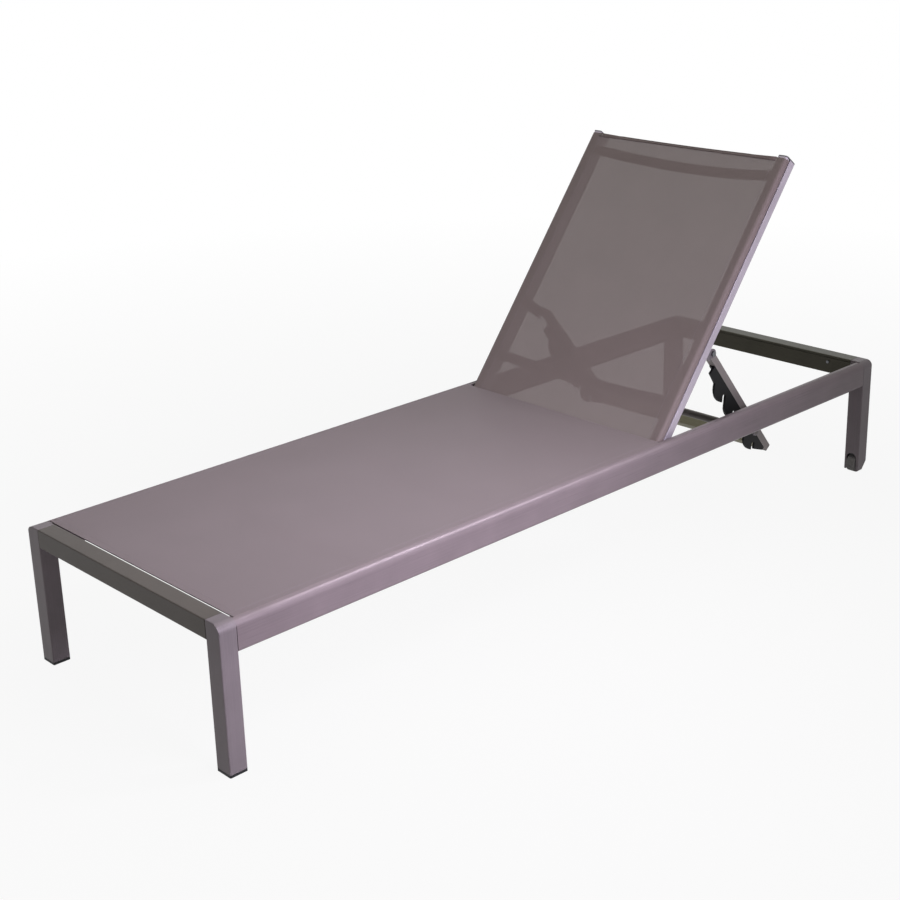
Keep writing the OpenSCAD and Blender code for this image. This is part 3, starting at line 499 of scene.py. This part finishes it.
# a row along each edge pocket, and one across each hem
on_cloth, from_edge, pocket_row, hem_row = 0.0006, 0.003, 0.2885, 0.285
seat_rows = [((seat_start + from_edge, across), (seat_end - from_edge, across))
             for across in (-pocket_row, pocket_row)]
seat_rows += [((at, -hem_row), (at, hem_row))
              for at in (seat_start + hem_width - from_edge, seat_end - hem_width + from_edge)]
seat_stitches = stitches("seat_sling_stitches", seat_rows, land + on_cloth, Matrix(), thread,
                         "frame", seat_dip)

spline_pvc, tree = new_material("grey_extruded_pvc")
# drawn lines along the spline, as the die leaves them
draw = noise(tree, scaled(tree, on_object(tree), (6, 900, 900)), 1.0, 2.0)
skin(tree, ("Base Color", tones(tree, draw, "2c2c2e", "444447")), ("Roughness", 0.45))
wear(spline_pvc, "seat_splines", "back_splines")


# Hinges. Plated steel pins with nuts, through black nylon bushes in the back rails. Nylon
# spacers keep the back rails clear of the side rails.
wear(zinc_steel, "hinge_pin_left", "hinge_pin_right", "hinge_nuts")
wear(black_nylon, "hinge_spacers", "back_bush_left", "back_bush_right")


# Back rails with their end caps. Extruded aluminium, brushed along the rail. Their colour is a
# lighter, cooler copy of the side rails': painted light for the lit outer side that shows beside
# the cloth.
# The caps are moulded plugs, grey above, black below.
hinge = Vector((0.2026, 0, 0.271))
recline = math.radians(52.1)
back_rail_painted_light_metal = anodised("anodised_aluminium_brushed_along_back", "bab1bc", "x", 0.32, recline, 0.4)
wear(back_rail_painted_light_metal, "back_rail_left", "back_rail_right")
wear(black_nylon, "back_bottom_cap_left", "back_bottom_cap_right")

cap_plastic, tree = new_material("grey_moulded_abs")
# a fine mould grain that keeps the plastic from shining
grain = noise(tree, on_object(tree), 700.0, 3.0)
skin(tree, ("Base Color", tones(tree, grain, "4b484e", "5b575d")), ("Roughness", 0.42),
     ("Normal", bumps(tree, grain, 0.1, 0.0002)))
wear(cap_plastic, "back_top_cap_left", "back_top_cap_right")


# Back spreaders. Oval aluminium tubes, bowed away from the back so that the cloth can give,
# and welded between the back rails. They show through the cloth as darker bands.
spreader_metal = anodised("anodised_aluminium_spreader", "7d7874", "y", 0.4)
wear(spreader_metal, "back_spreader_low", "back_spreader_high")


# Back sling. A more open mesh than the seat's, drawn over the front and the outer edge of each
# back rail and into the slot in the rail's side. Its top hem is slightly hollow.
back_cloth = cloth_material("back_mesh_warm_grey", "948383", "a2928f", 0.77)
back_place = Matrix.Translation(hinge) @ Matrix.Rotation(-recline, 4, "Y")
# (across, height) from the hinge, height being toward the front: round the spline in the side
# channel, out over the slot's lip, up the outer side, round the front edge and across the front
back_half, tongue_half, front, rail_front = 0.265, 0.256, 0.0194, 0.274
side_channel, slot_mouth = (0.284, 0.005), (0.2885, 0.005)
lip, lip_round = (0.2885, 0.0059), 0.0009
outer_side, outer_low = 0.2894, 0.009
front_edge, front_round = (0.2818, 0.0118), 0.0076
half_outline = arc(side_channel, spline_round, 200, 360, 10)
half_outline += [slot_mouth] + arc(lip, lip_round, -90, 0, 3)
half_outline += [(outer_side, outer_low)] + arc(front_edge, front_round, 0, 90, 6)
half_outline += [(rail_front, front), (back_half, front)] + inward(tongue_half, front)
back_start, back_end, tongue = 0.009, 0.721, 0.017
back_sag, back_bow = 0.003, 0.005
back_sling, back_width = sling_mesh("back_sling_cloth", mirrored(half_outline), back_start,
                                    back_end, back_place, back_sag, back_bow, tongue, tongue_half)
clothe(back_sling, back_cloth, "backrest")
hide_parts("back_sling")
# the top hem is bound with a folded strip of the same cloth, drawn opaque and darker than the sling
binding_cloth = cloth_material("back_binding_tape", "6c5c5a", "7b6a68", 1.0)
binding_half, binding_width, binding_over, binding_front = 0.2635, 0.009, 0.0004, 0.0011
binding = (back_end - binding_width, back_end + binding_over, back_place, 0, back_bow)
back_hems = [hem("back_binding_front", binding_half, front + binding_front, *binding),
             hem("back_binding_rear", binding_half, front - hem_under, *binding)]
for piece in back_hems:
    clothe(piece, binding_cloth, "backrest")
low_hem_start, low_hem_half = -0.0075, 0.254
back_hems += [hem("back_hem_low", low_hem_half, front - hem_under, low_hem_start, back_start,
                  back_place)]
clothe(back_hems[-1], back_cloth, "backrest")


def back_dip(along, across):
    """How far the back's cloth hangs below its edges."""
    share = min(1, max(0, (along - back_start) / (back_end - back_start)))
    return back_sag * max(0, 1 - (across / tongue_half) ** 2) * (1 - (2 * share - 1) ** 4)


pocket_row, low_row, low_row_half, from_binding = 0.2595, 0.006, 0.252, 0.004
back_rows = [((back_start + from_edge, across), (back_end - from_binding, across))
             for across in (-pocket_row, pocket_row)]
back_rows += [((low_row, -low_row_half), (low_row, low_row_half))]
back_stitches = stitches("back_sling_stitches", back_rows, front + on_cloth, back_place, thread,
                         "backrest", back_dip)


# Prop. Square aluminium arms, hung on plated bolts from flat brackets that are riveted to the
# back rails. A crossbar is welded between their lower ends, and black nylon caps close them.
prop_tilt = math.radians(-51.3)
prop_metal = anodised("anodised_aluminium_brushed_along_arms", "8b8481", "x", 0.38, prop_tilt)
wear(prop_metal, "prop_arm_left", "prop_arm_right")
# the prop crossbar's light olive colour is painted light, for its upper face lit from above
prop_bar_painted_light_metal = anodised("anodised_aluminium_prop_crossbar", "a09c83", "y", 0.4)
wear(prop_bar_painted_light_metal, "prop_crossbar")
bracket_metal = anodised("anodised_aluminium_brackets", "7a7478", "x", 0.42, recline)
wear(bracket_metal, "prop_bracket_left", "prop_bracket_right")
wear(zinc_steel, "bracket_rivets", "pivot_bolts", "pivot_nuts")
wear(black_nylon, "prop_arm_caps")


# Racks. Notched plates of black glass-filled nylon, fixed along the undersides of the arms.
# The fibres leave the moulding matt and slightly streaked.
rack_nylon, tree = new_material("black_glass_filled_nylon")
turned = add(tree, "ShaderNodeMapping",
             [("Vector", on_object(tree)), ("Rotation", (0, prop_tilt, 0))]).outputs[0]
streak = noise(tree, scaled(tree, turned, (120, 600, 600)), 1.0, 4.0)
skin(tree, ("Base Color", tones(tree, streak, "070708", "121214")), ("Roughness", 0.6),
     ("Specular IOR Level", 0.2), ("Normal", bumps(tree, streak, 0.12, 0.0002)))
wear(rack_nylon, "rack_left", "rack_right")


# Catch bar with its brackets. An aluminium bar across the frame that the racks hook over. Its
# ends lie in flat brackets that are riveted to the inner sides of the side rails.
bar_metal = anodised("anodised_aluminium_catch_bar", "6c6864", "y", 0.4)
wear(bar_metal, "catch_bar", "catch_end_left", "catch_end_right")
wear(bracket_metal, "catch_bracket_left", "catch_bracket_right")
wear(zinc_steel, "catch_rivets")
